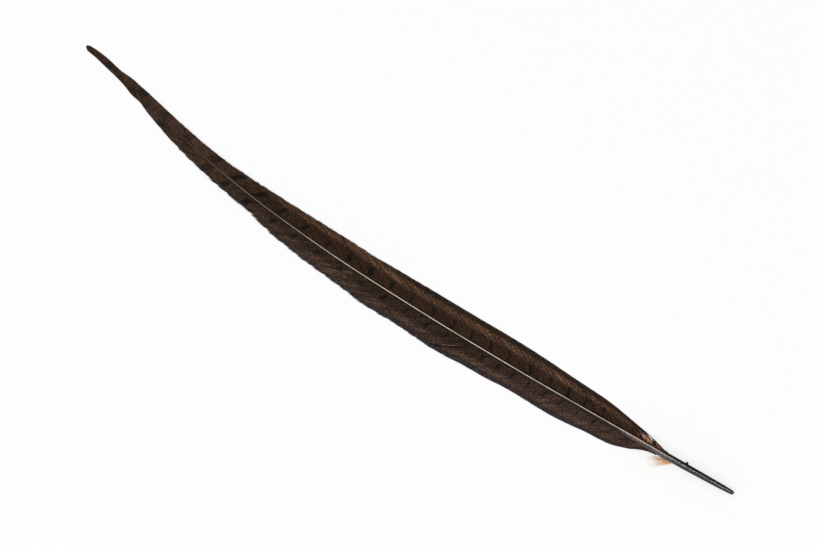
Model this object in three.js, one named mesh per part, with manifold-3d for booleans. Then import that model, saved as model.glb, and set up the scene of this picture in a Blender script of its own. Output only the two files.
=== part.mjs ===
// A pheasant's tail feather that lies on a surface with its upper side up. Millimetres, +Z up.
// The quill end points to +X and the tip to -X, and the shaft bows sideways toward -Y.
// "Along" is a distance on the shaft's middle line, from a point just inside the quill's end. "Across"
// is one at right angles to it in plan, and side is +1 for the vane on the +Y side and -1 for the other.
// The origin is at the middle of the feather's outline, on the surface that it lies on.
import * as THREE from 'three';
import { mergeVertices } from 'three/addons/utils/BufferGeometryUtils.js';
import Module from 'manifold-3d';

const wasm = await Module();
wasm.setup();

// Driving dimensions. A list gives [along, size], except that the bow is [distance on the chord, offset].
const quillEnd = -1; // along
const featherLength = 533; // along, at the barbs' last tips, so 534 mm or 21 inches in all
const chordLength = 530.5; // straight from along 0 to the tip
const shaftBow = [
  [0, -0.48], [40, -4.35], [60, -6.15], [82, -8.1], [164, -14.7], [246, -19.5], [328, -21.5],
  [389, -19.5], [430, -15.4], [470, -9], [510, -2.2], [chordLength, 0.7],
];
const shaftDiameter = [
  [quillEnd, 2.6], [3, 3.25], [7, 3.6], [14, 3.95], [34, 4.6], [56, 4.85], [80, 3.8], [110, 2.8],
  [150, 2.05], [185, 1.6], [250, 1.25], [320, 1], [400, 0.7], [480, 0.45], [featherLength, 0.3],
];
const rightVaneWidth = [
  [50, 2.6], [55, 3], [61, 4.8], [71, 7.4], [81, 9.3], [98, 12.4], [132, 15.1], [164, 17], [220, 17],
  [251, 16.5], [277, 15.6], [291, 15], [315, 14.8], [343, 13.2], [381, 10.5], [410, 7.9], [423, 7.2],
  [466, 5.85], [487, 5.25], [496, 4.7], [504, 3.35], [516, 3.2], [524, 2.6], [featherLength, 1.1],
];
const leftVaneWidth = [
  [56, 2.8], [62, 3.3], [66, 4.2], [70, 5.7], [75, 8], [80, 9.7], [88, 11.9], [97, 12.7],
  [107, 13], [116, 13.9], [126, 14.7], [173, 14.8], [182, 15.5], [200, 15.9], [220, 17.2],
  [258, 16.3], [277, 16.9], [301, 15.3], [334, 14], [362, 12], [381, 9.3], [400, 9.25],
  [419, 8.4], [438, 7.5], [457, 6.2], [472, 4.6], [480, 3.2], [488, 3.4], [497, 2.4],
  [506, 2.1], [514, 2.1], [524, 1.95], [featherLength, 2.4],
];
const vaneThickness = 0.6;
const jointGap = 0.3; // between the shaft and what grows on it
const shaftTip = 531; // the barbs reach a little past the end of the shaft
const shaftSides = 12;
const restingLength = 58; // the quill lies on the surface this far
const archHeight = 3.5; // how far the middle of the shaft lifts from the surface
const droopWidth = 12; // a vane at least this wide droops until its edge touches the surface
const droopPower = 1.6; // a vane drops slowly near the shaft and faster toward its edge
const rootLift = 0.15; // of the shaft's diameter, how far a vane springs above the shaft's middle
const shaftEnd = { length: 0.9, bluntness: 0.45 }; // of each rounded end, and how wide its flat stays
const endCrowding = 0.9; // how much closer the shaft's rings lie toward its ends, below 1
const stub = { along: 36.4, radius: 1, reach: 1.3, sunk: 0.5 }; // dried stub on the side of the quill
const down = { root: 49, rootAcross: 3, tip: 62, tipAcross: 10.5, width: 5.5, height: 2.6 };
const downRootFullness = 0.35; // of its full width, where the down meets the quill
const downSweep = 0.6; // how much the down's width leans along the shaft
const downLift = 0.3; // the down keeps just clear of the surface

const shaftRings = 72;
const vaneRows = 84;
const vaneColumns = 5;
const stubFacets = [10, 8]; // round it and from end to end
const downFacets = [14, 10];

/** A smooth curve of a size through its [along, size] points. */
function through(points) {
  const stations = points.map(([along]) => along);
  const sizes = points.map(([, size]) => size);
  const curve = new THREE.CubicInterpolant(stations, sizes, 1, new Float32Array(1));
  return (along) => curve.evaluate(along)[0];
}

const bowAt = through(shaftBow);
const diameterAt = through(shaftDiameter);

/** The shaft's middle line in plan. */
class ShaftLine extends THREE.Curve {
  getPoint(t, target = new THREE.Vector3()) {
    return target.set(-t * chordLength, bowAt(t * chordLength), 0);
  }
}
const shaftLine = new ShaftLine();
const shaftLineLength = shaftLine.getLength();

/** The point at a distance along and across the shaft's line, at a height. */
function place(along, across, height) {
  const onLine = THREE.MathUtils.clamp(along, 0, shaftLineLength);
  const ahead = shaftLine.getTangentAt(onLine / shaftLineLength);
  const point = shaftLine.getPointAt(onLine / shaftLineLength).addScaledVector(ahead, along - onLine);
  return new THREE.Vector3(point.x + ahead.y * across, point.y - ahead.x * across, height);
}

/** Height of the shaft's middle line: its lowest facet lies on the surface as far as the quill goes. */
function shaftHeight(along) {
  const onFacet = diameterAt(along) / 2 * Math.cos(Math.PI / shaftSides);
  const raised = THREE.MathUtils.clamp((along - restingLength) / (featherLength - restingLength), 0, 1);
  return onFacet + archHeight * Math.sin(Math.PI * raised) ** 2;
}

/** Height of a vane's middle surface, where out goes from 0 at the shaft to 1 at the outer edge. */
function vaneHeight(along, width, out) {
  const lowest = vaneThickness / 2;
  const root = Math.max(lowest, shaftHeight(along) + rootLift * diameterAt(along));
  const droop = (root - lowest) * THREE.MathUtils.smoothstep(width, 0, droopWidth);
  return root - droop * out ** droopPower;
}

/** Moves each vertex of a closed geometry, whose shared vertices are merged first. */
function reshaped(geometry, move) {
  geometry.deleteAttribute('normal');
  geometry.deleteAttribute('uv');
  const merged = mergeVertices(geometry);
  const positions = merged.attributes.position;
  const vertex = new THREE.Vector3();
  for (let i = 0; i < positions.count; i++) {
    const moved = move(vertex.fromBufferAttribute(positions, i));
    positions.setXYZ(i, moved.x, moved.y, moved.z);
  }
  merged.computeVertexNormals();
  return merged;
}

/** A solid for joining, from a geometry with merged vertices. */
function toSolid(geometry) {
  const mesh = new wasm.Mesh({
    numProp: 3,
    vertProperties: new Float32Array(geometry.attributes.position.array),
    triVerts: new Uint32Array(geometry.index.array),
  });
  return new wasm.Manifold(mesh);
}

/** The geometry of a joined solid. */
function toGeometry(solid) {
  const mesh = solid.getMesh();
  const geometry = new THREE.BufferGeometry();
  geometry.setAttribute('position', new THREE.BufferAttribute(mesh.vertProperties, 3));
  geometry.setIndex(new THREE.BufferAttribute(mesh.triVerts, 1));
  geometry.computeVertexNormals();
  return geometry;
}

/** Quill and rachis: a twelve-sided rod along the bow, rounded at both ends, with the stub joined on. */
function shaftGeometry() {
  const rod = new THREE.CylinderGeometry(1, 1, 1, shaftSides, shaftRings);
  const halfFacet = Math.PI / shaftSides;
  rod.rotateY(halfFacet); // turns a flat facet to face down
  const shaped = reshaped(rod, (vertex) => {
    const t = vertex.y + 0.5;
    const crowded = t - Math.sin(2 * Math.PI * t) / (2 * Math.PI) * endCrowding;
    const along = THREE.MathUtils.lerp(quillEnd, shaftTip, crowded);
    const fromEnd = Math.min(along - quillEnd, shaftTip - along, shaftEnd.length) / shaftEnd.length;
    const rounding = Math.sqrt(1 - (1 - fromEnd) ** 2 * (1 - shaftEnd.bluntness));
    const radius = diameterAt(along) / 2 * rounding;
    const lowered = diameterAt(along) / 2 * (1 - rounding) * Math.cos(halfFacet);
    return place(along, vertex.x * radius, shaftHeight(along) - lowered + vertex.z * radius);
  });
  const quillSide = diameterAt(stub.along) / 2;
  const knob = reshaped(new THREE.SphereGeometry(stub.radius, ...stubFacets), (vertex) => {
    const outward = vertex.y / stub.radius * (stub.reach + stub.sunk) - stub.sunk;
    return place(stub.along - vertex.x, quillSide + outward, shaftHeight(stub.along) + vertex.z);
  });
  return toGeometry(toSolid(shaped).add(toSolid(knob)));
}

/** One row of barbs as a thin sheet, from just off the shaft to the barbs' tips. */
function vaneGeometry(side, widths) {
  const widthAt = through(widths);
  const start = widths[0][0];
  const reach = featherLength - start;
  const sheet = new THREE.BoxGeometry(1, 1, 1, vaneRows, vaneColumns, 1);
  return reshaped(sheet, (vertex) => {
    const along = start + reach * (0.5 - side * vertex.x);
    const out = vertex.y + 0.5;
    const root = diameterAt(along) / 2 + jointGap;
    const width = Math.max(widthAt(along), root + jointGap);
    const across = THREE.MathUtils.lerp(root, width, out);
    const height = vaneHeight(along, width, out) + vertex.z * vaneThickness;
    return place(along, side * across, height);
  });
}

/** The down as one soft drop, thin at its root on the quill and widest past its middle. */
function downGeometry() {
  return reshaped(new THREE.SphereGeometry(1, ...downFacets), (vertex) => {
    const t = (vertex.y + 1) / 2;
    const fullness = THREE.MathUtils.lerp(downRootFullness, 1, t);
    const aside = vertex.x * down.width / 2 * fullness;
    const along = THREE.MathUtils.lerp(down.root, down.tip, t) + aside;
    const across = THREE.MathUtils.lerp(down.rootAcross, down.tipAcross, t) - aside * downSweep;
    const height = downLift + down.height / 2 + vertex.z * down.height / 2 * fullness;
    return place(along, -across, height);
  });
}

const horn = new THREE.MeshStandardMaterial({ color: 0x8d857c, roughness: 0.45, metalness: 0 });
const barbs = new THREE.MeshStandardMaterial({ color: 0x3b2b21, roughness: 0.7, metalness: 0 });
const downFibres = new THREE.MeshStandardMaterial({ color: 0xa78466, roughness: 0.9, metalness: 0 });

const feather = new THREE.Group();

function addPiece(name, geometry, material) {
  const piece = new THREE.Mesh(geometry, material);
  piece.name = name;
  feather.add(piece);
}

addPiece('shaft', shaftGeometry(), horn);
addPiece('vane_right', vaneGeometry(1, rightVaneWidth), barbs);
addPiece('vane_left', vaneGeometry(-1, leftVaneWidth), barbs);
addPiece('down_tuft', downGeometry(), downFibres);

const outline = new THREE.Box3().setFromObject(feather, true);
const middle = outline.getCenter(new THREE.Vector3());
feather.position.set(-middle.x, -middle.y, -outline.min.z);

export default feather;
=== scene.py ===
"""A pheasant's long tail feather that lies on a pale surface with its upper side up.

Shapes are worked out in millimetres and turned into metres where a mesh is made. "Along" is a distance
on the shaft's middle line, from a point just inside the quill's end, "across" the distance from that
line in plan, and "out" runs from 0 at a barb's root to 1 at its tip.
"""
import math

import bpy
import numpy as np
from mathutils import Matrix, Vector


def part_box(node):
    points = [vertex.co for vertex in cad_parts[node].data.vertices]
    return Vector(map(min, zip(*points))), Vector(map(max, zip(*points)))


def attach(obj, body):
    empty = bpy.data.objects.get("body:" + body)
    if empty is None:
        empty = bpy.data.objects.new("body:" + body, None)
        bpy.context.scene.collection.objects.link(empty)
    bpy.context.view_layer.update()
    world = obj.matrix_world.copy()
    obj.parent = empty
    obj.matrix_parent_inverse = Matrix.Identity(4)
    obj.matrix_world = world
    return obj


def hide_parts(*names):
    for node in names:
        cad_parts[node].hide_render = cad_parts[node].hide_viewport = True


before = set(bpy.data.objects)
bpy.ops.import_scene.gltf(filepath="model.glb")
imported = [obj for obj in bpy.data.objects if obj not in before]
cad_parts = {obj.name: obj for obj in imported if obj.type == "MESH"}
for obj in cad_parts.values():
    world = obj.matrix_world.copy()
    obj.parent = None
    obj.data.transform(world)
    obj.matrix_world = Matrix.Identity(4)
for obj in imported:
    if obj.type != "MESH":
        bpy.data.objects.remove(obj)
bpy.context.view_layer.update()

MM = 0.001

# The feather's sizes. A list gives (along, size), except that the bow is (distance on the chord, offset).
QUILL_END = -1
FEATHER_LENGTH = 533
CHORD_LENGTH = 530.5
SHAFT_TIP = 531
SHAFT_BOW = (
    (0, -0.48), (40, -4.35), (60, -6.15), (82, -8.1), (164, -14.7), (246, -19.5), (328, -21.5),
    (389, -19.5), (430, -15.4), (470, -9), (510, -2.2), (CHORD_LENGTH, 0.7),
)
SHAFT_DIAMETER = (
    (QUILL_END, 2.6), (3, 3.25), (7, 3.6), (14, 3.95), (34, 4.6), (56, 4.85), (80, 3.8), (110, 2.8),
    (150, 2.05), (185, 1.6), (250, 1.25), (320, 1.0), (400, 0.7), (480, 0.45), (FEATHER_LENGTH, 0.3),
)
RIGHT_WIDTH = (
    (50, 2.6), (55, 3), (61, 4.8), (71, 7.4), (81, 9.3), (98, 12.4), (132, 15.1), (164, 17), (220, 17),
    (251, 16.5), (277, 15.6), (291, 15), (315, 14.8), (343, 13.2), (381, 10.5), (410, 7.9), (423, 7.2),
    (466, 5.85), (487, 5.25), (496, 4.7), (504, 3.35), (516, 3.2), (524, 2.6), (FEATHER_LENGTH, 1.1),
)
LEFT_WIDTH = (
    (56, 2.8), (62, 3.3), (66, 4.2), (70, 5.7), (75, 8), (80, 9.7), (88, 11.9), (97, 12.7),
    (107, 13), (116, 13.9), (126, 14.7), (173, 14.8), (182, 15.5), (200, 15.9), (220, 17.2),
    (258, 16.3), (277, 16.9), (301, 15.3), (334, 14), (362, 12), (381, 9.3), (400, 9.25),
    (419, 8.4), (438, 7.5), (457, 6.2), (472, 4.6), (480, 3.2), (488, 3.4), (497, 2.4),
    (506, 2.1), (514, 2.1), (524, 1.95), (FEATHER_LENGTH, 2.4),
)
MIDDLE_HEIGHT = 0.97  # of the shaft's half width, which leaves a narrow flat for the quill to rest on
RESTING_LENGTH = 58
ARCH_HEIGHT = 3.5
VANE_THICKNESS = 0.6
VANE_RISE = 0.15  # of the shaft's thickness, from its middle up to the vanes' roots
NARROWEST_VANE = 0.6
DROOP_WIDTH = 12  # a vane this wide or wider droops to the surface
DROOP_CURVE = 1.6
LINE_POINTS = 1062

# The camera's view: its size and one pixel's, its turn, and where its middle lies from the chord's middle.
VIEW_SIZE = (817, 545)
PIXEL = 0.676
VIEW_TURN = math.radians(34.59)
VIEW_MIDDLE = (0.69, -2.19)
CAMERA_HEIGHT = 2.4  # metres


def through(points):
    """The smooth curve through (station, value) points, as a function of the station."""
    station, value = np.array(points, float).T
    slope = np.gradient(value, station)

    def curve(at):
        at = np.clip(at, station[0], station[-1])
        left = np.clip(np.searchsorted(station, at) - 1, 0, len(station) - 2)
        span = station[left + 1] - station[left]
        t = (at - station[left]) / span
        ends = (1 + 2 * t) * (1 - t) ** 2 * value[left] + t * t * (3 - 2 * t) * value[left + 1]
        slopes = t * (1 - t) ** 2 * slope[left] + t * t * (t - 1) * slope[left + 1]
        return ends + span * slopes

    return curve


def smooth_step(value, low, high):
    t = np.clip((value - low) / (high - low), 0, 1)
    return t * t * (3 - 2 * t)


bow_at = through(SHAFT_BOW)
diameter_at = through(SHAFT_DIAMETER)

line_x = -np.linspace(0, CHORD_LENGTH, LINE_POINTS)
line_y = bow_at(-line_x)
line_along = np.concatenate([[0], np.cumsum(np.hypot(np.diff(line_x), np.diff(line_y)))])
line_heading = np.unwrap(np.arctan2(np.gradient(line_y), np.gradient(line_x)))

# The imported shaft's box says where the middle line lies in the frame.
shaft_low, shaft_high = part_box("shaft")
line_start = np.array([
    shaft_high.x / MM + QUILL_END,
    shaft_low.y / MM - (line_y - diameter_at(line_along) / 2).min(),
    0,
])


def place(along, across, height):
    """Points of the frame, in metres, from distances along and across the shaft, +Y side positive."""
    on_line = np.interp(along, line_along, line_x)
    beside = np.interp(along, line_along, line_y)
    heading = np.interp(along, line_along, line_heading)
    beyond = along - np.clip(along, 0, line_along[-1])
    x = on_line + np.cos(heading) * beyond + np.sin(heading) * across
    y = beside + np.sin(heading) * beyond - np.cos(heading) * across
    return MM * (np.stack(np.broadcast_arrays(x, y, height), -1) + line_start)


def shaft_height(along):
    """Height of the shaft's middle: the quill lies on the surface and the rest arches over it."""
    raised = np.clip((along - RESTING_LENGTH) / (FEATHER_LENGTH - RESTING_LENGTH), 0, 1)
    return MIDDLE_HEIGHT * diameter_at(along) / 2 + ARCH_HEIGHT * np.sin(np.pi * raised) ** 2


def vane_height(along, across, width_at):
    """Height of a vane's middle surface, which droops from the shaft to its outer edge."""
    root = diameter_at(along) / 2
    width = np.maximum(width_at(along), root + NARROWEST_VANE)
    out = np.clip((across - root) / (width - root), 0, 1)
    lowest = VANE_THICKNESS / 2
    top = np.maximum(lowest, shaft_height(along) + VANE_RISE * diameter_at(along))
    droop = (top - lowest) * smooth_step(width, 0, DROOP_WIDTH)
    return top - droop * out ** DROOP_CURVE


# Meshes

ROW_MARGIN = 0.04  # of a texture row's length, at each of its ends
ROW_HEIGHT = 0.96  # of the height that each row of a texture map has


def strand_mesh(name, rings):
    """Closed strands in one mesh, from an array of points by strand, ring, corner and axis."""
    strands, length, corners = rings.shape[:3]
    at = np.arange(strands * length * corners).reshape(strands, length, corners)
    turned = np.roll(at, -1, axis=2)
    sides = np.stack([at[:, :-1], turned[:, :-1], turned[:, 1:], at[:, 1:]], -1).reshape(-1, 4)
    ends = np.concatenate([at[:, 0, ::-1], at[:, -1]])
    mesh = bpy.data.meshes.new(name)
    mesh.from_pydata(rings.reshape(-1, 3).tolist(), [], sides.tolist() + ends.tolist())
    mesh.update()
    piece = bpy.data.objects.new(name, mesh)
    bpy.context.scene.collection.objects.link(piece)
    return piece


def keep_ridges(piece, corners):
    """Smooth along each strand, with a crease at each of its corners."""
    mesh = piece.data
    mesh.shade_smooth()
    ends = np.empty(2 * len(mesh.edges), np.int32)
    mesh.edges.foreach_get("vertices", ends)
    ends = ends.reshape(-1, 2) % corners
    crease = mesh.attributes.new("sharp_edge", "BOOLEAN", "EDGE")
    crease.data.foreach_set("value", ends[:, 0] == ends[:, 1])


def measure(piece, **measures):
    """Gives each point of a piece numbers that its finish reads by name."""
    for name, values in measures.items():
        numbers = np.ascontiguousarray(values, dtype=np.float32).ravel()
        layer = piece.data.attributes.new(name, "FLOAT", "POINT")
        layer.data.foreach_set("value", numbers)


def join(pieces):
    """Joins the later pieces into the first."""
    with bpy.context.temp_override(
        active_object=pieces[0], selected_editable_objects=pieces, object=pieces[0],
    ):
        bpy.ops.object.join()
    return pieces[0]


def lay_out(piece, across, down, rows, across_range, down_range):
    """A texture map in rows: across runs through all rows in turn, and down over the height of each."""
    mesh = piece.data
    corner_point = np.empty(len(mesh.loops), np.int32)
    mesh.loops.foreach_get("vertex_index", corner_point)
    start = np.empty(len(mesh.polygons), np.int32)
    mesh.polygons.foreach_get("loop_start", start)
    total = np.empty(len(mesh.polygons), np.int32)
    mesh.polygons.foreach_get("loop_total", total)
    u = np.asarray(across, float).ravel()[corner_point]
    v = np.asarray(down, float).ravel()[corner_point]
    row_length = (across_range[1] - across_range[0]) / rows
    middle = np.add.reduceat(u, start) / total
    row = np.clip(np.floor((middle - across_range[0]) / row_length), 0, rows - 1).repeat(total)
    margin = ROW_MARGIN * row_length
    u = (u - across_range[0] - row * row_length + margin) / (row_length + 2 * margin)
    v = (v - down_range[0]) / (down_range[1] - down_range[0])
    v = row + (1 - ROW_HEIGHT) / 2 + ROW_HEIGHT * np.clip(v, 0, 1)
    spot = np.stack([np.clip(u, 0.001, 0.999), v / rows], 1)
    layer = mesh.uv_layers.new(name="OFBake")
    layer.uv.foreach_set("vector", spot.astype(np.float32).ravel())


# Vanes

PITCH = 0.5  # between the roots of neighbouring barbs
BARB_STATIONS = 15
BARB_CORNERS = 4
RIDGE = 0.1
ROOT_DEPTH = 0.45  # inside the shaft's side, where a barb is rooted
CLUMP_LENGTHS = (3, 13)  # of the shaft, between the gaps that part barbs into clumps
SPLIT_LENGTH = 4  # along the shaft, in which barbs make way for a split
EYELET_LENGTH = 1.5  # the same for an eyelet
WISP_BARBS = 5  # neighbouring barbs that move together as a wisp
WIDEST_BARB = 0.34  # half its width
LOWEST_BARB = RIDGE + 0.02  # height of its middle, so that the ridge below stays clear of the surface
BAR_SPACING = 16  # that a bar's thickness is given for
OUTER_BAR_SPACING = 13  # before the first bar and after the last
WIDEST_VANE = 18.5  # that the texture map has room for

# The two vanes. What changes along a vane is a list of (along, value), and angles are in degrees.
# start: the first barb's root. end_rounding: how much sooner barbs that reach further out stop at the tip.
# root_angle and edge_angle: between the shaft and a barb at its root and at its tip.
# bars: where they meet the shaft's line. bar_lean: toward the tip, from square to the shaft. bar_reach:
# across, where a bar begins, is full, starts to fade and ends. bar_strength and bar_raggedness: how dark
# the bars are and how much their edges waver. splits: (root, opening). eyelets: (root, opening, out from,
# out to). loose and looseness: where the loose barbs of the base end, and how loose they are. fraying: how
# far wisps stand out. band_shift: how much further out the pale band, partly painted sheen, is far from the
# quill. edge_fading: how much of the dark edge, painted shade and sheen, is missing far from the quill and
# near it. gilding: how much of the golden lines shows. seams: (root, across from, across to, width, hue),
# where a "bar" seam is a painted shadow and a "glint" seam a painted highlight.
RIGHT_VANE = {
    "node": "vane_right",
    "name": "barbs_right",
    "side": 1,
    "seed": 11,
    "width": through(RIGHT_WIDTH),
    "start": 50.5,
    "end_rounding": 0.9,
    "root_angle": through(((53, 40), (90, 42), (200, 40), (400, 28), (505, 24), (SHAFT_TIP, 7))),
    "edge_angle": through(((53, 15), (100, 19), (200, 20), (350, 17), (450, 12), (505, 11), (SHAFT_TIP, 3))),
    "bars": (
        76, 89, 102, 116, 129, 143, 158, 174, 189, 205, 220, 236, 253, 269, 286, 304, 322, 343, 363,
        382, 401, 421, 443, 465, 485, 513, 533,
    ),
    "bar_lean": through((
        (60, 5), (150, 15), (175, 26), (190, 24), (210, 5), (260, 8), (300, 0), (340, -28), (533, -30),
    )),
    "bar_reach": (1.3, 2.1, 5.8, 7.3),
    "bar_strength": 1.0,
    "bar_raggedness": 1.2,
    "splits": ((176, 0.6), (262, 0.8), (388, 0.8), (448, 0.6)),
    "eyelets": ((60.2, 1.0, 0.3, 0.8), (67.4, 0.75, 0.12, 0.45)),
    "loose": (58, 80),
    "looseness": 0.15,
    "fraying": through(((53, 0.1), (230, 0.2), (330, 0.5), (420, 0.5), (470, 0.2), (533, 0.1))),
    "band_shift": 0.12,
    "edge_fading": (0.85, 0),
    "gilding": 0.8,
    "seams": (
        (168.5, 3, 11, 0.6, "bar"), (232, 9, 14, 0.6, "bar"), (233.2, 8, 14, 0.5, "glint"),
        (378, 3, 8, 0.6, "bar"),
    ),
}
LEFT_VANE = {
    "node": "vane_left",
    "name": "barbs_left",
    "side": -1,
    "seed": 23,
    "width": through(LEFT_WIDTH),
    "start": 57,
    "end_rounding": 0.35,
    "root_angle": through(((57, 50), (90, 46), (200, 40), (400, 28), (505, 24), (SHAFT_TIP, 7))),
    "edge_angle": through(((57, 32), (100, 28), (200, 22), (350, 18), (450, 11), (505, 11), (SHAFT_TIP, 3))),
    "bars": (
        78, 91, 104, 117, 130, 142, 155, 167, 178, 190, 205, 219, 233, 251, 268, 285, 303, 322, 341,
        358, 380, 399, 415, 437, 456, 490, 513, 533,
    ),
    "bar_lean": through(((60, 15), (250, 22), (533, 32))),
    "bar_reach": (1.9, 2.8, 5.4, 6.8),
    "bar_strength": 0.95,
    "bar_raggedness": 1.6,
    "splits": ((186, 1.0), (262, 1.4), (366, 0.8)),
    "eyelets": (),
    "loose": (60, 72),
    "looseness": 0.15,
    "fraying": through(((57, 0.1), (200, 0.2), (310, 1.0), (420, 0.9), (465, 0.2), (533, 0.1))),
    "band_shift": -0.1,
    "edge_fading": (0.3, 0.6),
    "gilding": 0.06,
    "seams": (
        (199.2, 6.5, 16, 2.0, "bar"), (201.6, 6, 12.5, 0.5, "glint"), (190.5, 8, 14.5, 1.4, "blaze"),
        (291.5, 2.2, 6.5, 0.8, "blaze"), (293.5, 2, 6, 0.8, "blaze"), (316.5, 3.5, 11, 0.6, "bar"),
        (322, 3, 9, 0.6, "bar"),
    ),
}


def barb_lines(vane):
    """The barbs' middle lines in plan, by barb and station, and how far out each station is.

    At the feather's end, barbs that reach further out stop sooner, so that the end is rounded.
    """
    root_along = np.arange(vane["start"], SHAFT_TIP, PITCH)
    root_across = np.maximum(diameter_at(root_along) / 2 - ROOT_DEPTH, 0)
    out = np.sin(np.linspace(0, np.pi / 2, BARB_STATIONS))
    at_root = vane["root_angle"](root_along)[:, None]
    at_edge = vane["edge_angle"](root_along)[:, None]
    angle = np.radians(at_edge + (at_root - at_edge) * (1 - out) ** 1.6)
    steps = np.diff(out) * (1 / np.tan(angle[:, 1:]) + 1 / np.tan(angle[:, :-1])) / 2
    forward = np.concatenate([np.zeros((len(root_along), 1)), np.cumsum(steps, axis=1)], axis=1)
    reach = np.full(len(root_along), 4.0)
    for _ in range(80):
        tip = root_along + forward[:, -1] * reach
        reach = (reach + np.maximum(vane["width"](tip) - root_across, 0.3)) / 2
    reach = np.minimum(reach, (FEATHER_LENGTH - root_along) / forward[:, -1])
    rounded_end = FEATHER_LENGTH - vane["end_rounding"] * reach ** 2
    reach = np.minimum(reach, (rounded_end - root_along) / forward[:, -1])
    along = root_along[:, None] + forward * reach[:, None]
    across = root_across[:, None] + out * reach[:, None]
    return root_along, along, across, out


def half_widths(along, across):
    """Half the distance between neighbouring barbs, square to them."""
    run_along, run_across = np.gradient(along, axis=1), np.gradient(across, axis=1)
    next_along, next_across = np.gradient(along, axis=0), np.gradient(across, axis=0)
    length = np.hypot(run_along, run_across)
    square = (-run_across / length, run_along / length)
    return np.abs(next_along * square[0] + next_across * square[1]) / 2, square


def clumps(vane, root_along, random):
    """Where barbs cling together: each barb's place in its clump, from 0 to 1, and the clump's number."""
    gaps = [vane["start"]]
    while gaps[-1] < SHAFT_TIP:
        gaps.append(gaps[-1] + random.uniform(*CLUMP_LENGTHS))
    gaps = np.array(gaps)
    number = np.searchsorted(gaps, root_along, side="right") - 1
    return (root_along - gaps[number]) / (gaps[number + 1] - gaps[number]), number


def fanned_out(vane, root_along, out, ply, clump):
    """How far barbs shift along the shaft where clumps fan and splits part them."""
    shift = ((ply - 0.5) * (0.2 + 0.6 * clump))[:, None] * out ** 3
    for at, opening in vane["splits"]:
        away = root_along - at
        shift += (np.sign(away) * opening / 2 * np.exp(-np.abs(away) / SPLIT_LENGTH))[:, None] * out ** 4
    return shift


def bent_in(vane, root_along, out):
    """How far the barbs past an eyelet bend toward the shaft. Those before it bend away from it."""
    shift = np.zeros((len(root_along), len(out)))
    for at, opening, opens, closes in vane["eyelets"]:
        away = root_along - at
        open_here = np.sin(np.pi * np.clip((out - opens) / (closes - opens), 0, 1)) ** 2
        shift += (np.sign(away) * opening / 2 * np.exp(-np.abs(away) / EYELET_LENGTH))[:, None] * open_here
    return shift


def bar_numbers(vane, along, across, barb):
    """Numbers that are whole on each bar's middle line. Single barbs are a little ahead or behind."""
    lean = np.tan(np.radians(vane["bar_lean"](along)))
    ragged = (barb - 0.5)[:, None] * 0.8
    bar_at = along - lean * across + ragged
    bars = np.array(vane["bars"], float)
    number = np.interp(bar_at, bars, np.arange(len(bars)))
    return number + (bar_at - np.clip(bar_at, bars[0], bars[-1])) / OUTER_BAR_SPACING


def make_vane(vane):
    """One row of barbs, each with a ridge above and below and thin edges that overlap the next barb.

    Splits part the barbs' tips, eyelets are gaps between barbs whose tips meet again, and fraying is
    how far small wisps of tips stand out of the edge or stay behind it.
    """
    random = np.random.default_rng(vane["seed"])
    root_along, along, across, out = barb_lines(vane)
    half, square = half_widths(along, across)
    ply, clump_number = clumps(vane, root_along, random)
    clump = random.random(clump_number.max() + 1)[clump_number]
    barb = random.random(len(root_along))
    loose = vane["looseness"] * (1 - smooth_step(root_along, *vane["loose"]))[:, None]
    fraying = vane["fraying"](along[:, -1:])
    wisp = fraying * np.convolve(barb - 0.5, np.ones(WISP_BARBS) / 2, "same")[:, None]

    first = (root_along < vane["start"] + 5)[:, None]
    thinnest = 0.075 + 0.1 * smooth_step(along, 515, 531) + 0.12 * first
    half = np.clip(half * (1.35 + 0.45 * out), thinnest, WIDEST_BARB)
    half = half * (1 - 0.8 * smooth_step(out, 0.965 - 0.03 * fraying, 1))

    along = along + fanned_out(vane, root_along, out, ply, clump)
    along = along + loose * (barb[:, None] - 0.5) * 3 * np.sin(np.pi * out) ** 2
    along = along + wisp * out ** 6
    across = across + 0.8 * wisp * out ** 8 - bent_in(vane, root_along, out)

    # Each clump rises, so that it lies over the next one toward the tip and parts from the last.
    lift = (0.16 * ply * (0.3 + clump) - 0.08)[:, None] * out ** 1.3
    lift = lift + loose * random.uniform(-0.3, 0.8, len(barb))[:, None] * out
    height = np.maximum(vane_height(along, across, vane["width"]) + lift, LOWEST_BARB)
    ridge = RIDGE * (1 - 0.6 * out)
    corners = ((-1, -0.3 * ridge), (0, ridge), (1, 0.25 * ridge), (0, -ridge))
    rings = np.stack([
        place(
            along + half * step * square[0],
            vane["side"] * (across + half * step * square[1]),
            height + rise,
        )
        for step, rise in corners
    ], axis=2)
    if vane["side"] < 0:
        rings = rings[:, :, ::-1]
    piece = strand_mesh(vane["name"], rings)
    keep_ridges(piece, BARB_CORNERS)

    def spread(values):
        return np.broadcast_to(values[..., None], values.shape + (BARB_CORNERS,))

    whole = np.ones_like(along)
    measure(
        piece,
        along=spread(along),
        across=spread(across),
        reach=spread(across / np.maximum(vane["width"](along), 1)),
        out=spread(out * whole),
        root=spread(root_along[:, None] * whole),
        barb=spread(barb[:, None] * whole),
        clump=spread(clump[:, None] * whole),
        ply=spread(ply[:, None] * whole),
        bar=spread(bar_numbers(vane, along, across, barb)),
    )
    lay_out(
        piece, spread(along), spread(across), rows=5,
        across_range=(vane["start"], FEATHER_LENGTH + 1), down_range=(0, WIDEST_VANE),
    )
    return piece


# Shaft

SHAFT_CORNERS = 28
STUB_ALONG = 36.4
STUB_SIZE = (1.05, 1.2, 0.95)  # along, out and up
STUB_RINGS = 9
STUB_CORNERS = 14


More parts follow.
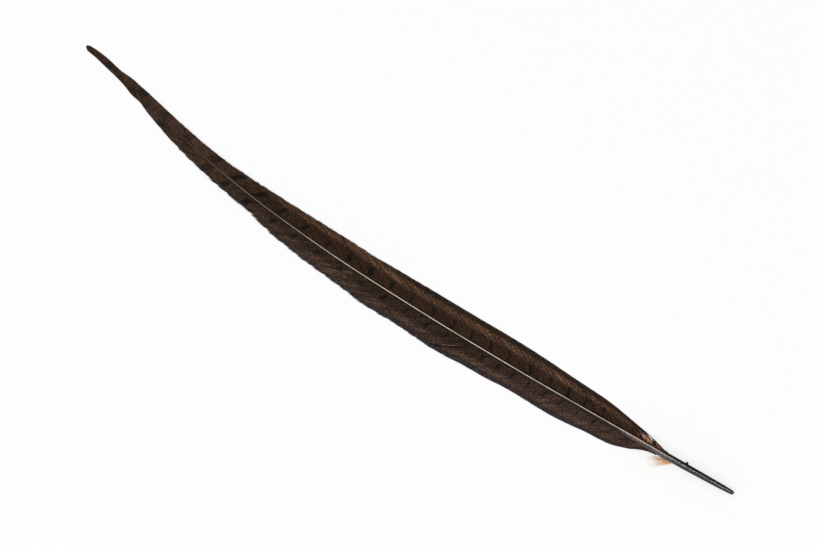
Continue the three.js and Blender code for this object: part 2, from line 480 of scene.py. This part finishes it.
def shaft_rings():
    """Stations of the shaft: in at the small hole of the quill, out over its rim and on to the tip."""
    hole = [(QUILL_END + inward, size) for inward, size in ((2.2, 0.16), (0.9, 0.3), (0.15, 0.34))]
    rim = [
        (QUILL_END + inward, 1 - 0.3 * (1 - inward / 0.9) ** 2)
        for inward in (0, 0.05, 0.15, 0.35, 0.6, 0.9)
    ]
    body = [(along, 1) for along in np.arange(QUILL_END + 3, SHAFT_TIP - 2, 2.7)]
    tip = [(SHAFT_TIP + step, size) for step, size in ((-1, 0.9), (-0.4, 0.7), (-0.1, 0.4), (0, 0.15))]
    return np.array(hole + rim + body + tip).T


def section(turn, along):
    """Sideways and up, by angle from the top, where the shaft's half width is 1."""
    boxy = smooth_step(along, 48, 74)
    power = 1 - 0.22 * boxy
    sideways = np.sign(np.sin(turn)) * np.abs(np.sin(turn)) ** power
    up = np.sign(np.cos(turn)) * np.abs(np.cos(turn)) ** power
    from_below = (turn - np.pi) / 0.42
    groove = 0.34 * boxy * np.exp(-from_below ** 2)
    return sideways, up + groove


def make_stub():
    """The dried stub that stands out from the side of the quill."""
    rise = np.linspace(-1, 1, STUB_RINGS) * 0.98
    turn = np.linspace(0, 2 * np.pi, STUB_CORNERS, endpoint=False)
    size = np.sqrt(1 - rise ** 2)[:, None]
    along = STUB_ALONG + STUB_SIZE[0] * size * np.cos(turn) + 0.18 * rise[:, None]
    up = STUB_SIZE[2] * size * np.sin(turn) * (1 + 0.15 * np.cos(3 * turn))
    out = diameter_at(STUB_ALONG) / 2 + STUB_SIZE[1] * rise[:, None]
    rings = place(along, out, np.maximum(shaft_height(STUB_ALONG) + up, 0.05))
    stub = strand_mesh("quill_stub", rings[None])
    shape = (STUB_RINGS, STUB_CORNERS)
    measure(
        stub,
        along=np.full(shape, STUB_ALONG),
        turn=np.full(shape, 90.0),
        aside=np.full(shape, 2.0),
        stub=np.ones(shape),
    )
    stub.data.shade_smooth()
    return stub


def make_shaft():
    """Quill and rachis, with a hole in the quill's end, a groove below the vanes and the stub."""
    along, size = shaft_rings()
    turn = np.linspace(-np.pi, np.pi, SHAFT_CORNERS, endpoint=False)
    full = diameter_at(along) / 2
    radius = (size * full)[:, None]
    sideways, up = section(turn[None, :], along[:, None])
    middle = (shaft_height(along) - MIDDLE_HEIGHT * (1 - np.clip(size, 0.3, 1)) * full)[:, None]
    height = np.maximum(middle + up * radius, 0)
    rings = place(along[:, None], sideways * radius, height)[None]
    piece = strand_mesh("shaft_horn", rings)
    piece.data.shade_smooth()
    shape = (len(along), SHAFT_CORNERS)
    spread_along = np.broadcast_to(along[:, None], shape)
    spread_turn = np.broadcast_to(np.degrees(turn)[None, :], shape)
    measure(piece, along=spread_along, turn=spread_turn, aside=sideways * radius, stub=np.zeros(shape))
    lay_out(
        piece, spread_along, spread_turn, rows=6,
        across_range=(QUILL_END, SHAFT_TIP), down_range=(-180, 180),
    )
    return join([piece, make_stub()])


# Down

DOWN_STRANDS = 90
DOWN_STATIONS = 12
STRAND_RADIUS = 0.045
DOWN_HAIRS = 48  # on each strand
HAIR_STATIONS = 4
HAIR_RADIUS = 0.015

DOWN_HEIGHT = 1.7  # where the strands spring from the quill

# The fan of strands, from the one nearest the vane to the one nearest the quill's end.
DOWN_ROOTS = (51.5, 45.2)
DOWN_BEARINGS = (16, 41)  # degrees from the shaft
DOWN_REACHES = (12, 18.5)


def make_down():
    """Loose down that springs from the side of the quill: curved strands with fine hairs on both sides."""
    random = np.random.default_rng(5)
    spot = np.linspace(0, 1, DOWN_STRANDS)
    fan = np.clip(spot + random.normal(0, 0.07, DOWN_STRANDS), 0, 1)
    out = np.linspace(0, 1, DOWN_STATIONS)
    root_along = np.interp(spot, (0, 1), DOWN_ROOTS) + random.normal(0, 0.4, DOWN_STRANDS)
    root_across = diameter_at(root_along) / 2 - 0.25
    bearing = np.radians(np.interp(fan, (0, 1), DOWN_BEARINGS))
    reach = random.uniform(0.5, 1.0, DOWN_STRANDS) * np.interp(fan, (0, 1), DOWN_REACHES)
    bend = random.normal(0.05, 0.12, DOWN_STRANDS)
    turned = bearing[:, None] + bend[:, None] * (1 - 2 * out)
    step = reach[:, None] / (DOWN_STATIONS - 1)
    along = root_along[:, None] + np.cumsum(step * np.cos(turned), axis=1) - step * np.cos(turned)
    across = root_across[:, None] + np.cumsum(step * np.sin(turned), axis=1) - step * np.sin(turned)
    rise = random.uniform(0.2, 2.3, DOWN_STRANDS)[:, None]
    height = DOWN_HEIGHT + (rise - DOWN_HEIGHT) * out + 0.3 * np.sin(np.pi * out)
    strands = tube_rings(along, across, height, STRAND_RADIUS * (1 - 0.6 * out) * np.ones_like(along))
    piece = strand_mesh("down_fibres", strands)
    shade = np.broadcast_to(random.random(DOWN_STRANDS)[:, None, None], strands.shape[:3])
    measure(piece, out=np.broadcast_to(out[None, :, None], strands.shape[:3]), shade=shade)
    hairs, hair_out, hair_shade = down_hairs(along, across, height, random)
    fluff = strand_mesh("down_hairs", hairs)
    measure(fluff, out=hair_out, shade=hair_shade)
    join([piece, fluff])
    spread = np.empty(len(piece.data.vertices), np.float32)
    piece.data.attributes["out"].data.foreach_get("value", spread)
    shades = np.empty(len(piece.data.vertices), np.float32)
    piece.data.attributes["shade"].data.foreach_get("value", shades)
    lay_out(piece, spread, shades, rows=1, across_range=(0, 1), down_range=(0, 1))
    return piece


def tube_rings(along, across, height, radius):
    """Three-cornered rings round lines on the -Y side, by strand, station and corner."""
    corners = [(math.cos(turn), math.sin(turn)) for turn in (np.pi / 2, np.pi * 7 / 6, np.pi * 11 / 6)]
    return np.stack([
        place(
            along - radius * sideways * 0.7,
            -(across + radius * sideways * 0.7),
            np.maximum(height, radius + 0.02) + radius * up,
        )
        for sideways, up in corners
    ], axis=2)


def down_hairs(along, across, height, random):
    """The fine hairs on both sides of each strand of down."""
    at = np.linspace(0.1, 0.99, DOWN_HAIRS)
    stations = np.linspace(0, 1, DOWN_STATIONS)
    roots = [
        np.stack([np.interp(at, stations, line) for line in lines])
        for lines in (along, across, height)
    ]
    step_along = np.gradient(roots[0], axis=1)
    step_across = np.gradient(roots[1], axis=1)
    heading = np.arctan2(step_across, step_along)
    count = roots[0].size
    root_out = np.tile(at, len(along))
    side = np.tile([1, -1], count // 2)
    heading = heading.ravel() + side * random.uniform(0.3, 0.75, count)
    reach = random.uniform(0.5, 2.0, count) * (1 - 0.4 * root_out)
    rise = random.normal(0, 0.3, count)
    out = np.linspace(0, 1, HAIR_STATIONS)
    turned = heading[:, None] - side[:, None] * 0.3 * out ** 2
    hair_along = roots[0].ravel()[:, None] + reach[:, None] * out * np.cos(turned)
    hair_across = roots[1].ravel()[:, None] + reach[:, None] * out * np.sin(turned)
    hair_height = roots[2].ravel()[:, None] + rise[:, None] * out * reach[:, None]
    radius = HAIR_RADIUS * (1 - 0.5 * out) * np.ones_like(hair_along)
    rings = tube_rings(hair_along, hair_across, hair_height, radius)
    hair_out = np.broadcast_to(root_out[:, None, None], rings.shape[:3])
    shade = np.broadcast_to(random.random(count)[:, None, None], rings.shape[:3])
    return rings, hair_out, shade


# Finishes


def colour(red, green, blue):
    """A colour for a socket, from the 0 to 255 steps of a screen."""
    steps = (red / 255, green / 255, blue / 255)
    linear = [s / 12.92 if s <= 0.04045 else ((s + 0.055) / 1.055) ** 2.4 for s in steps]
    return (*linear, 1)


class Value:
    """A socket's value in a finish. Its operators add Math nodes."""

    def __init__(self, finish, socket):
        self.finish = finish
        self.socket = socket

    def __add__(self, other):
        return self.finish.math("ADD", self, other)

    def __radd__(self, other):
        return self.finish.math("ADD", other, self)

    def __sub__(self, other):
        return self.finish.math("SUBTRACT", self, other)

    def __rsub__(self, other):
        return self.finish.math("SUBTRACT", other, self)

    def __mul__(self, other):
        return self.finish.math("MULTIPLY", self, other)

    def __rmul__(self, other):
        return self.finish.math("MULTIPLY", other, self)

    def __abs__(self):
        return self.finish.math("ABSOLUTE", self, 0)


class Finish:
    """One material. node() adds any node, and the other methods are short ways to call it."""

    def __init__(self, name):
        self.material = bpy.data.materials.new(name)
        self.material.use_nodes = True
        self.tree = self.material.node_tree
        self.tree.nodes.clear()

    def node(self, kind, settings=None, sockets=None, output=0):
        """Adds a node, with its settings first and then its sockets' values or links."""
        node = self.tree.nodes.new(kind)
        for name, setting in (settings or {}).items():
            setattr(node, name, setting)
        for name, value in (sockets or {}).items():
            if isinstance(value, Value):
                self.tree.links.new(value.socket, node.inputs[name])
            else:
                node.inputs[name].default_value = value
        return Value(self, node.outputs[output]) if node.outputs else None

    def math(self, operation, first, second):
        return self.node("ShaderNodeMath", {"operation": operation}, {0: first, 1: second})

    def measured(self, name):
        """A number that each point of the piece carries."""
        return self.node("ShaderNodeAttribute", {"attribute_name": name}, output="Fac")

    def step(self, value, low, high):
        """0 below low and 1 above high, with a soft change between."""
        return self.node(
            "ShaderNodeMapRange",
            {"interpolation_type": "SMOOTHSTEP"},
            {"Value": value, "From Min": low, "From Max": high},
        )

    def between(self, value, start, full, fade, end):
        return self.step(value, start, full) * (1 - self.step(value, fade, end))

    def noise(self, x, y, z=0.0, detail=2.0, roughness=0.5):
        """Noise over three numbers, from about 0.25 to 0.75."""
        at = self.node("ShaderNodeCombineXYZ", sockets={"X": x, "Y": y, "Z": z})
        return self.node(
            "ShaderNodeTexNoise",
            {"noise_dimensions": "3D"},
            {"Vector": at, "Scale": 1.0, "Detail": detail, "Roughness": roughness},
        )

    def mix(self, amount, first, second):
        """The first colour, with an amount of the second over it."""
        return self.node(
            "ShaderNodeMix",
            {"data_type": "RGBA", "clamp_factor": True},
            {0: amount, 6: first, 7: second},
            output=2,
        )

    def shade(self, hue, amount):
        """A colour times a number."""
        return self.node(
            "ShaderNodeVectorMath", {"operation": "SCALE"}, {0: hue, "Scale": amount},
        )

    def bump(self, height, distance, strength=1.0):
        return self.node(
            "ShaderNodeBump", sockets={"Height": height, "Distance": distance, "Strength": strength},
        )

    def surface(self, **sockets):
        """Ends the material in one Principled shader."""
        named = {name.replace("_", " "): value for name, value in sockets.items()}
        shader = self.node("ShaderNodeBsdfPrincipled", sockets=named)
        self.node("ShaderNodeOutputMaterial", sockets={"Surface": shader})
        return self.material


class VaneFinish(Finish):
    """A vane's material, with the measures and noises that its layers share."""

    def __init__(self, vane, hues):
        super().__init__(vane["name"])
        self.vane = vane
        self.hues = hues
        self.along = self.measured("along")
        self.across = self.measured("across")
        self.reach = self.measured("reach")
        self.out = self.measured("out")
        self.root = self.measured("root")
        self.barb = self.measured("barb")
        self.clump = self.measured("clump")
        self.ply = self.measured("ply")
        self.bar = self.measured("bar")

        seed = vane["seed"]
        self.streak = self.noise(self.root * 0.52, self.out * 2.5, seed, detail=1.0)
        self.hatch = self.noise(self.root * 0.42, self.out * 0.8, seed + 5, detail=1.5)
        self.thread = self.noise(self.root * 1.9, self.out * 0.8, seed + 17, detail=0.0)
        self.grain = self.noise(self.root * 0.95, self.across * 1.5, seed + 3, detail=0.5)
        self.speckle = self.noise(self.root * 1.8, self.across * 1.8, seed + 19, detail=0.0)
        self.patch = self.noise(self.along * 0.045, self.across * 0.14, seed + 7, detail=2.0)
        self.tint = self.noise(self.along * 0.22, self.across * 0.32, seed + 13, detail=1.5)

        self.near = 1 - self.step(self.along, 80, 130)
        self.far = self.step(self.along, 250, 310)
        self.near_tip = self.step(self.along, 390, 430)

    def ground(self):
        """The ground colour, from the quill to the tip, with rusty and olive patches."""
        hues = self.hues
        hue = self.mix(self.step(self.along, 120, 200), hues["base"], hues["inner"])
        hue = self.mix(self.step(self.along, 370, 430), hue, hues["tip"])
        hue = self.mix(self.step(self.tint, 0.5, 0.62) * 0.24, hue, hues["rust"])
        hue = self.mix(self.step(1 - self.tint, 0.5, 0.62) * 0.24, hue, hues["olive"])
        return self.mix(self.step(self.along, 462, 485) * 0.35, hue, colour(34, 25, 19))

    def gilded(self, hue):
        """With golden lines near the outer side of the vane's base."""
        golden = self.between(self.along, 53, 58, 66, 78) * self.between(self.reach, 0.26, 0.46, 0.7, 0.9)
        golden = golden * self.step(self.thread + 0.1 * (self.barb - 0.5), 0.48, 0.58)
        return self.mix(golden * self.vane["gilding"], hue, colour(188, 138, 108))

    def banded(self, hue):
        """With the paler band between middle and edge, of fine lines along the barbs: partly their own paler
        tone and partly painted sheen, with a painted highlight on each clump's crest.
        """
        fade = self.between(self.along, 60, 125, 295, 430)
        crest_highlight = self.between(self.ply, 0.35, 0.8, 0.9, 1.0)
        shifted = self.reach - self.vane["band_shift"] * self.far
        band = self.between(shifted, 0.44, 0.64, 0.73 + 0.25 * self.far, 0.83 + 0.25 * self.far)
        # crest_highlight lightens the lines on each clump's crest as a painted highlight.
        lines = self.hatch + 0.5 * (self.streak - 0.5) + 0.06 * crest_highlight + 0.3 * (self.patch - 0.5)
        lines = self.step(lines, 0.42, 0.6)
        return self.mix(band * fade * (0.35 + 0.65 * lines), hue, self.hues["streak"])

    def edge(self):
        """How far the dark outer edge shows: painted shade where the edge turns down from the light, and a
        greyer painted sheen on the left vane.
        """
        far_fading, near_fading = self.vane["edge_fading"]
        return self.step(self.reach, 0.73, 0.85) * (1 - far_fading * self.far) * (1 - near_fading * self.near)

    def barred(self, hue):
        """With dark bars near the shaft, each as dark and thick as chance has it, and blotches at the tip."""
        number = self.node("ShaderNodeMath", {"operation": "ROUND"}, {0: self.bar})
        chance = self.node(
            "ShaderNodeTexWhiteNoise", {"noise_dimensions": "1D"}, {"W": number + self.vane["seed"]},
        )
        from_bar = abs(self.bar - number) * BAR_SPACING
        thickness = 0.85 + 0.45 * chance + 0.45 * self.far + 0.1 * self.near_tip
        ragged = self.vane["bar_raggedness"]
        blurred = (self.grain - 0.5) * (ragged + 2 * self.near_tip)
        blurred = blurred + (self.streak - 0.5) * (ragged + 3 * self.near_tip)
        stripe = 1 - self.step(from_bar + blurred, thickness - 0.1, thickness + 0.3 + 1.6 * self.near_tip)
        opens, opened, closing, closed = self.vane["bar_reach"]
        held = self.between(
            self.across, opens, opened,
            closing + 1.5 * chance + 2 * self.near_tip, closed + 1.5 * chance + 4 * self.near_tip,
        )
        shown = 0.3 + 0.7 * self.step(self.along, 70, 130) - 0.45 * self.near_tip
        shown = shown * self.vane["bar_strength"]
        bars = stripe * self.math("MAXIMUM", held, self.near_tip) * shown * (0.76 + 0.24 * chance)
        return self.mix(bars, hue, self.hues["bar"])

    def seamed(self, hue):
        """With a painted shadow along each seam where the vane once split, and a painted highlight on the
        pale barbs beside it.
        """
        for at, begins, ends, width, kind in self.vane["seams"]:
            here = 1 - self.step(abs(self.root - at), 0.5 * width, 1.2 * width)
            here = here * self.between(self.across, begins, begins + 1.5, ends - 2, ends)
            # A "bar" seam is a painted shadow and a "glint" seam a painted highlight.
            hue = self.mix(here * 0.85, hue, self.hues[kind])
        return hue

    def level(self, edge):
        """How light each spot is: fine grain, threads near the quill, and painted shade in the valleys
        between clumps.
        """
        valley_shade = 1 - self.step(self.ply, 0.0, 0.16)
        level = 1.04 + 2.1 * (self.streak - 0.5) + (3.4 - 0.5 * self.near) * (self.grain - 0.5)
        level = level + 2.4 * self.near * (self.thread - 0.5)
        level = level + 5 * (self.speckle - 0.5) + 1.1 * (self.barb - 0.5) + 0.15 * (self.clump - 0.5)
        # Painted shade in the valley at the start of each clump, kept off the edge.
        level = level - 0.25 * valley_shade * self.step(self.out, 0.3, 0.6) * (1 - edge)
        return self.math("MAXIMUM", level, 0.2)


def vane_finish(vane, hues):
    """Dark brown barbs: black bars near the shaft, pale streaks along the barbs that are partly painted
    sheen, and a dark outer edge of painted shade.
    """
    finish = VaneFinish(vane, hues)
    edge = finish.edge()
    hue = finish.banded(finish.gilded(finish.ground()))
    # Painted shade along the outer edge; on the left vane the edge hue is a greyer painted sheen.
    hue = finish.mix(edge, hue, hues["edge"])
    hue = finish.seamed(finish.barred(hue))
    return finish.surface(
        Base_Color=finish.shade(hue, finish.level(edge)),
        Roughness=0.6 + 0.3 * (finish.grain - 0.5),
        Specular_IOR_Level=0.08,
    )


def quill_hue(finish, along, turn, lines, veins):
    """The quill: black along the right side, with painted shade over its own dark horn, and marbled grey on
    top and on the left side. The grey is partly a painted highlight, and painted shade darkens the left side.
    """
    # The light grey of the marbling is partly a painted highlight on the quill's top.
    quill = finish.mix(finish.step(veins, 0.28, 0.52), colour(36, 34, 36), colour(164, 157, 153))
    # Painted shade over the quill's left side.
    shaded = finish.step(-1 * turn, -8, 26) * (0.9 - 0.3 * finish.step(along, 36, 50))
    quill = finish.mix(shaded, quill, colour(35, 34, 39))
    quill = finish.mix(finish.step(along, 50, 66) * 0.5, quill, colour(70, 54, 47))
    # Painted shade along the right side: black on the quill, dark brown where the vane begins.
    right_side_shade = finish.step(turn + 16 * (lines - 0.5), 9, 23)
    dark = finish.mix(finish.step(along, 38, 66), colour(11, 9, 8), colour(62, 40, 25))
    quill = finish.mix(right_side_shade, quill, dark)
    end = 1 - finish.step(along, QUILL_END, QUILL_END + 2)
    return finish.mix(end * 0.8, quill, colour(30, 28, 28))


def pale_line(finish, along, turn, aside, fine):
    """How far the pale line shows, which runs along the top, a little toward the right vane."""
    centre = 0.38 + 0.14 * finish.step(along, 50, 80)
    centre = centre - 0.22 * finish.step(along, 110, 175) - 0.28 * finish.step(along, 170, 320)
    half = 0.26 - 0.05 * finish.step(along, 70, 150)
    line = 1 - finish.step(abs(aside - centre), half - 0.1, half + 0.11)
    top = 1 - finish.step(abs(turn), 84, 100)
    shown = finish.step(along, 24, 88) - 0.68 * finish.step(along, 290, 385)
    shown = shown - 0.24 * finish.step(along, 380, 435) - 0.06 * finish.step(along, 440, 480)
    shown = shown * (1 - 0.28 * finish.between(along, 50, 75, 120, 150) - 0.22 * finish.step(along, 270, 350))
    return line * top * shown * (0.9 + 1.4 * (fine - 0.5))


def horn_finish():
    """The shaft: a dark marbled quill, black along one side with painted shade and grey on top with a painted
    highlight, that turns into a pale line with dark sides.
    """
    finish = Finish("horn")
    along = finish.measured("along")
    turn = finish.measured("turn")
    aside = finish.measured("aside")
    stub = finish.measured("stub")
    lines = finish.noise(along * 0.06, turn * 0.03, 2.0, detail=3.0, roughness=0.6)
    marble = finish.noise(along * 0.75 + turn * 0.02, turn * 0.04, 5.0, detail=2.0)
    fine = finish.noise(along * 1.3, turn * 0.06, 7.0, detail=1.0)
    blotch = finish.noise(along * 0.11, turn * 0.02, 9.0, detail=3.0)

    veins = 0.8 * marble + 0.6 * (lines - 0.5) + 1.2 * (fine - 0.5)
    quill = quill_hue(finish, along, turn, lines, veins)
    quill = finish.mix(stub, quill, colour(40, 30, 26))
    shoulder = finish.mix(finish.step(along, 78, 92), quill, colour(42, 33, 28))
    ivory = finish.mix(finish.step(blotch, 0.42, 0.58), colour(246, 235, 218), colour(212, 197, 177))
    hue = finish.mix(pale_line(finish, along, turn, aside, fine), shoulder, ivory)
    below = finish.step(abs(turn), 120, 145) * finish.step(along, 60, 90)
    hue = finish.mix(below * 0.7, hue, colour(120, 106, 92))
    return finish.surface(
        Base_Color=hue,
        Roughness=0.45 + 0.3 * (fine - 0.5),
        Specular_IOR_Level=0.06,
        Normal=finish.bump(lines + 0.5 * marble, 0.00012, 0.5),
    )


def down_finish():
    """Golden tan down, paler toward its tips."""
    finish = Finish("down")
    out = finish.measured("out")
    shade = finish.measured("shade")
    hue = finish.mix(finish.step(out, 0.05, 0.9), colour(250, 212, 162), colour(254, 240, 218))
    grey = finish.step(shade, 0.91, 0.94) * finish.step(out, 0.3, 0.8)
    hue = finish.mix(grey * 0.8, hue, colour(150, 124, 106))
    hue = finish.shade(hue, 0.84 + 0.24 * shade)
    return finish.surface(Base_Color=hue, Roughness=0.85, Specular_IOR_Level=0.15)


def floor_finish():
    """A pale surface that glows a little, as a light table does, so that shadows on it stay faint."""
    finish = Finish("pale_floor")
    return finish.surface(
        Base_Color=colour(150, 150, 150),
        Roughness=0.9,
        Specular_IOR_Level=0.0,
        Emission_Color=(1, 1, 1, 1),
        Emission_Strength=0.66,
    )


RIGHT_HUES = {
    "base": colour(45, 29, 17),
    "inner": colour(42, 27, 15),
    "tip": colour(64, 45, 34),
    "rust": colour(58, 34, 21),
    "olive": colour(36, 28, 14),
    # streak: partly the barbs' own paler tone, partly painted sheen
    "streak": colour(89, 63, 46),
    # edge: painted shade where the vane's edge turns down from the light
    "edge": colour(40, 28, 21),
    "bar": colour(12, 8, 6),
    "glint": colour(108, 82, 64),
}
LEFT_HUES = {
    "base": colour(57, 42, 36),
    "inner": colour(41, 29, 19),
    "tip": colour(57, 41, 30),
    "rust": colour(60, 40, 29),
    "olive": colour(37, 31, 19),
    # streak: partly the barbs' own paler tone, partly painted sheen
    "streak": colour(71, 53, 43),
    # edge: a greyer painted sheen on the turned-down edge
    "edge": colour(47, 39, 38),
    "bar": colour(13, 10, 8),
    "glint": colour(108, 88, 74),
    "blaze": colour(92, 66, 60),
}


# Stage, in metres

FLOOR_REACH = 6.0
SENSOR_WIDTH = 36  # millimetres


def make_floor():
    mesh = bpy.data.meshes.new("floor")
    corners = [(x * FLOOR_REACH, y * FLOOR_REACH, 0) for x, y in ((-1, -1), (1, -1), (1, 1), (-1, 1))]
    mesh.from_pydata(corners, [], [(0, 1, 2, 3)])
    floor = bpy.data.objects.new("floor", mesh)
    bpy.context.scene.collection.objects.link(floor)
    mesh.materials.append(floor_finish())


def make_camera():
    """Looks straight down, turned so that the feather runs from the upper left to the lower right."""
    middle = line_start[:2] + (VIEW_MIDDLE[0] - CHORD_LENGTH / 2, VIEW_MIDDLE[1])
    lens = bpy.data.cameras.new("camera")
    lens.sensor_width = SENSOR_WIDTH
    lens.lens = SENSOR_WIDTH * CAMERA_HEIGHT / (VIEW_SIZE[0] * PIXEL * MM)
    lens.clip_end = 50
    camera = bpy.data.objects.new("camera", lens)
    camera.location = (middle[0] * MM, middle[1] * MM, CAMERA_HEIGHT)
    camera.rotation_euler = (0, 0, VIEW_TURN)
    bpy.context.scene.collection.objects.link(camera)
    bpy.context.scene.camera = camera


def make_light(name, power, size, place_at, hue):
    lamp = bpy.data.lights.new(name, "AREA")
    lamp.energy = power
    lamp.shape = "DISK"
    lamp.size = size
    lamp.color = hue
    light = bpy.data.objects.new(name, lamp)
    light.location = place_at
    aim = -light.location
    light.rotation_euler = aim.to_track_quat("-Z", "Y").to_euler()
    bpy.context.scene.collection.objects.link(light)


def make_light_and_air():
    world = bpy.data.worlds.new("studio")
    world.use_nodes = True
    sky = world.node_tree.nodes["Background"]
    sky.inputs["Color"].default_value = (1, 1, 1, 1)
    sky.inputs["Strength"].default_value = 0.86
    bpy.context.scene.world = world
    make_light("window", 18, 1.6, (-0.5, -2.2, 1.5), (0.93, 0.96, 1.0))
    make_light("fill", 9, 2.2, (0.8, 1.9, 1.7), (1.0, 0.97, 0.94))


# The feather

make_camera()
make_floor()
make_light_and_air()

for vane, hues in ((RIGHT_VANE, RIGHT_HUES), (LEFT_VANE, LEFT_HUES)):
    barbs = make_vane(vane)
    barbs.data.materials.append(vane_finish(vane, hues))
    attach(barbs, "root")
    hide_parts(vane["node"])

shaft = make_shaft()
shaft.data.materials.append(horn_finish())
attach(shaft, "root")
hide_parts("shaft")

down = make_down()
down.data.materials.append(down_finish())
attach(down, "root")
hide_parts("down_tuft")

bpy.context.scene.view_settings.view_transform = "Standard"
